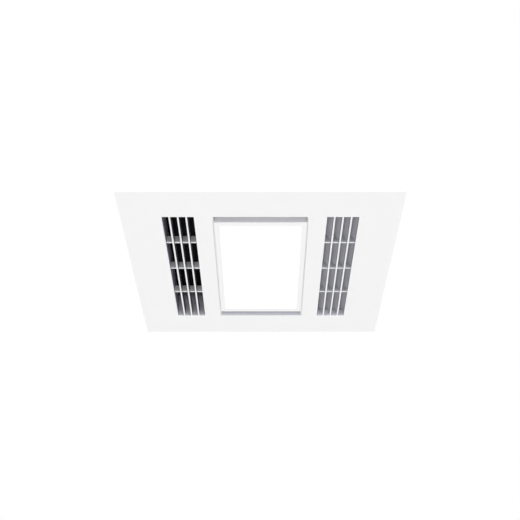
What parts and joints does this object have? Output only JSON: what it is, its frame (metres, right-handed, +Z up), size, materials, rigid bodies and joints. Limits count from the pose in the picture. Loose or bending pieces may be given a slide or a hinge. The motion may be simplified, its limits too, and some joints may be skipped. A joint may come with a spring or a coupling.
{
  "type": "bathroom heater fan light",
  "caption": "Square ceiling unit with a flush fascia, a slotted intake, a louvred warm-air outlet and a light panel, over a housing with a fan, heater and exhaust spigot.",
  "frame": {"origin": "centre of the ceiling fixing holes, in the plane of the ceiling's underside", "axes": "+Z up into the roof space, +X towards the warm-air outlet and the exhaust spigot, +Y along the slots, away from the viewer"},
  "size_m": [0.437, 0.4, 0.2202],
  "materials": {
    "white_plastic": "satin moulded white plastic",
    "louvre_plastic": "matt heat-resistant grey-white plastic",
    "opal_plastic": "opal diffuser sheet",
    "reflector_white": "white reflector film on sheet",
    "board_white": "white solder mask on aluminium",
    "emitter_yellow": "phosphor in small packages",
    "galvanised_sheet": "galvanised sheet steel",
    "black_sheet": "black-painted sheet steel",
    "black_plastic": "black moulded plastic",
    "impeller_plastic": "dark grey moulded plastic",
    "motor_steel": "drawn zinc-plated steel",
    "core_steel": "stacked core laminations",
    "shaft_steel": "ground steel",
    "bronze": "sintered bronze",
    "rubber": "soft black rubber",
    "foam_seal": "foam strip",
    "screw_steel": "zinc-plated steel",
    "spring_steel": "spring strip",
    "driver_plastic": "white driver case",
    "fin_aluminium": "thin corrugated strip",
    "element_aluminium": "extruded element tube",
    "heat_plastic": "glass-filled heat-resistant plastic",
    "terminal_tin": "tinned steel",
    "cutout_body": "moulded body with a metal cap",
    "motor_case": "plated motor case",
    "spigot_plastic": "white moulded plastic",
    "leaf_plastic": "thin white plastic",
    "box_plastic": "grey moulded plastic",
    "gland_plastic": "black nylon",
    "block_plastic": "natural nylon",
    "capacitor_plastic": "white can"
  },
  "bodies": {
    "unit": {"fascia": "white_plastic", "outlet_louvre": "louvre_plastic", "fascia_clips": "spring_steel", "light_frame": "white_plastic", "light_diffuser": "opal_plastic", "light_reflector": "reflector_white", "led_board": "board_white", "led_emitters": "emitter_yellow", "light_back_plate": "galvanised_sheet", "light_screws": "screw_steel", "led_driver": "driver_plastic", "driver_screws": "screw_steel", "housing": "galvanised_sheet", "housing_top": "galvanised_sheet", "ceiling_flange": "galvanised_sheet", "fan_deck": "black_sheet", "deck_screws": "screw_steel", "inlet_ring": "black_plastic", "inlet_screws": "screw_steel", "scroll_casing": "black_plastic", "scroll_screws": "screw_steel", "motor_plate": "galvanised_sheet", "motor_bushes": "rubber", "motor_mount_screws": "screw_steel", "motor_lower_shell": "motor_steel", "motor_upper_shell": "motor_steel", "stator_core": "core_steel", "motor_bearings": "bronze", "motor_screws": "screw_steel", "outlet_duct": "galvanised_sheet", "outlet_seal": "foam_seal", "heater_elements": "element_aluminium", "heater_fins": "fin_aluminium", "heater_end_caps": "heat_plastic", "heater_terminals": "terminal_tin", "thermal_cutout": "cutout_body", "damper_bushes": "heat_plastic", "gear_motor": "motor_case", "gear_motor_screws": "screw_steel", "exhaust_seal": "foam_seal", "duct_spigot": "spigot_plastic", "spigot_screws": "screw_steel", "backdraft_pin": "shaft_steel", "supply_box": "box_plastic", "gland_plate": "box_plastic", "supply_cover": "box_plastic", "supply_cover_screws": "screw_steel", "cable_gland": "gland_plastic", "terminal_block": "block_plastic", "run_capacitor": "capacitor_plastic", "capacitor_strap": "spring_steel", "roof_screws": "screw_steel"},
    "fan_rotor": {"impeller": "impeller_plastic", "impeller_nut": "bronze", "motor_shaft": "shaft_steel", "rotor": "core_steel"},
    "damper": {"changeover_damper": "galvanised_sheet", "damper_shaft": "shaft_steel"},
    "leaf_far": {"backdraft_leaf_far": "leaf_plastic"},
    "leaf_near": {"backdraft_leaf_near": "leaf_plastic"}
  },
  "joints": [
    {"name": "impeller_spin", "type": "hinge", "parent": "unit", "child": "fan_rotor", "pos_m": [-0.045, -0.067, 0.1], "axis": [0, 0, 1], "continuous": true},
    {"name": "damper_swing", "type": "hinge", "parent": "unit", "child": "damper", "pos_m": [0.1454, 0, 0.054], "axis": [0, 1, 0], "range_deg": [0, 90]},
    {"name": "leaf_far_swing", "type": "hinge", "parent": "unit", "child": "leaf_far", "pos_m": [0.199, 0, 0.085], "axis": [0, 0, -1], "range_deg": [0, 75], "stiffness_Nm_per_rad": 0.01, "springref_deg": -11.46},
    {"name": "leaf_near_swing", "type": "hinge", "parent": "unit", "child": "leaf_near", "pos_m": [0.199, 0, 0.085], "axis": [0, 0, 1], "range_deg": [0, 75], "stiffness_Nm_per_rad": 0.01, "springref_deg": -11.46}
  ]
}
